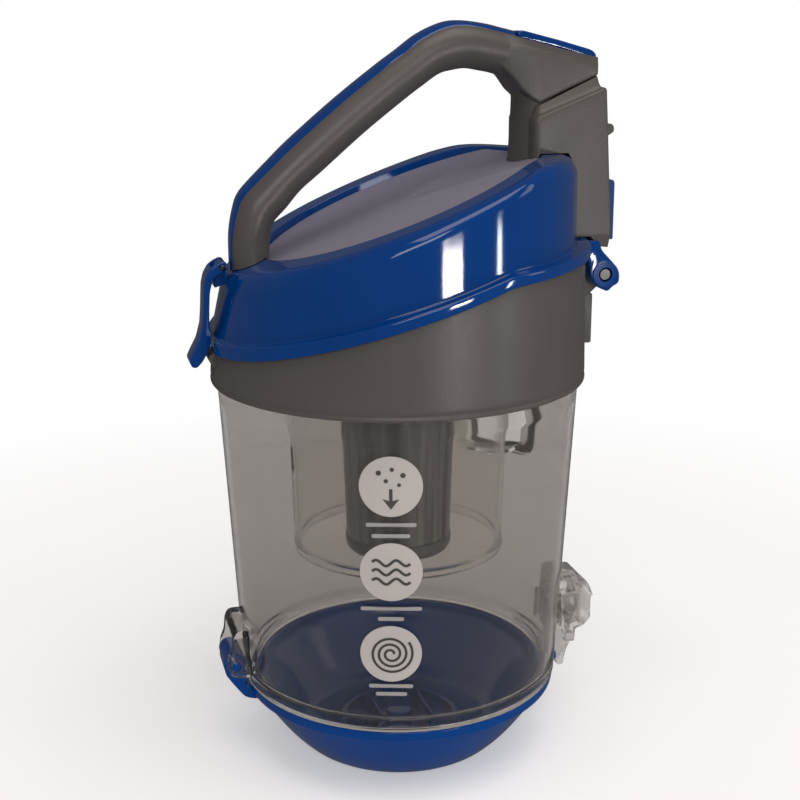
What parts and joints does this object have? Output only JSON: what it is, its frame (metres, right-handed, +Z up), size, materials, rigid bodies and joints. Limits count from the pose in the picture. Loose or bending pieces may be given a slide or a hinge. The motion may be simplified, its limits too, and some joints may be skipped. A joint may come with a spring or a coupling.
{
  "type": "vacuum cleaner dust cup",
  "caption": "Cyclone dust cup of a bagless vacuum cleaner: clear cup, hinged lid with carrying handle and release button, drop-open bottom door.",
  "frame": {"origin": "centre of the flat base of the bottom door, on the cup's axis", "axes": "+Z up along the cup's axis, +X towards the lid hinge and the docking catch, +Y to the side of the air inlet"},
  "size_m": [0.1961, 0.1728, 0.3351],
  "materials": {
    "blue_gloss": "glossy",
    "grey_plastic": "satin",
    "panel_grey": "satin",
    "smoky_clear": "clear smoky plastic",
    "clear_latch": "clear smoky plastic",
    "screen_metal": "perforated",
    "dark_plastic": "matt",
    "black_rubber": "matt",
    "blue_rubber": "matt",
    "steel": "brushed",
    "foam": "open-cell foam",
    "felt": "needled felt"
  },
  "bodies": {
    "cup": {"dust_cup": "smoky_clear", "inlet_port": "smoky_clear", "inlet_seal": "black_rubber", "door_hinge_pin": "blue_gloss", "door_latch_pin": "steel", "door_latch_spring": "steel", "cyclone_tube": "smoky_clear", "mesh_screen": "screen_metal", "screen_cap": "dark_plastic", "separator_plate": "grey_plastic", "plate_seal": "black_rubber", "collar": "grey_plastic", "filter_tray": "dark_plastic", "foam_filter": "foam", "felt_filter": "felt", "lid_hinge_pin": "steel"},
    "lid": {"lid": "blue_gloss", "lid_seal": "black_rubber", "lid_inset_panel": "panel_grey", "handle_grip": "grey_plastic", "handle_trim": "blue_gloss", "tower_housing": "grey_plastic", "outlet_gasket": "blue_rubber", "lid_latch_pin": "steel", "release_spring": "steel", "catch_spring": "steel"},
    "lid_latch": {"lid_latch": "blue_gloss"},
    "button": {"release_button": "blue_gloss", "release_rod": "dark_plastic"},
    "catch": {"body_catch": "grey_plastic"},
    "door": {"bottom_door": "blue_gloss", "door_seal": "black_rubber"},
    "door_latch": {"door_latch": "clear_latch"}
  },
  "joints": [
    {"name": "lid_hinge", "type": "hinge", "parent": "cup", "child": "lid", "pos_m": [0.0935, 0, 0.2235], "axis": [0, 1, 0], "range_deg": [0, 100]},
    {"name": "lid_latch_pivot", "type": "hinge", "parent": "lid", "child": "lid_latch", "pos_m": [-0.0794, 0, 0.2332], "axis": [0, 1, 0], "range_deg": [0, 14], "stiffness_Nm_per_rad": 0.12, "springref_deg": -5.73},
    {"name": "release_press", "type": "slide", "parent": "lid", "child": "button", "axis": [0, 0, -1], "range_m": [0, 0.003], "stiffness_N_per_m": 500, "springref_m": -0.002, "deforming": ["release_spring"]},
    {"name": "catch_slide", "type": "slide", "parent": "lid", "child": "catch", "axis": [-1, 0, 0], "range_m": [0, 0.0045], "deforming": ["catch_spring"]},
    {"name": "door_hinge", "type": "hinge", "parent": "cup", "child": "door", "pos_m": [-0.0812, 0, 0.0485], "axis": [0, 1, 0], "range_deg": [0, 95]},
    {"name": "door_latch_pivot", "type": "hinge", "parent": "cup", "child": "door_latch", "pos_m": [0.0845, 0, 0.054], "axis": [0, -1, 0], "range_deg": [0, 9], "stiffness_Nm_per_rad": 0.3, "springref_deg": -8.59, "deforming": ["door_latch_spring"]}
  ],
  "couplings": [
    {"joint": "catch_slide", "follows": "release_press", "ratio": 1.5}
  ]
}
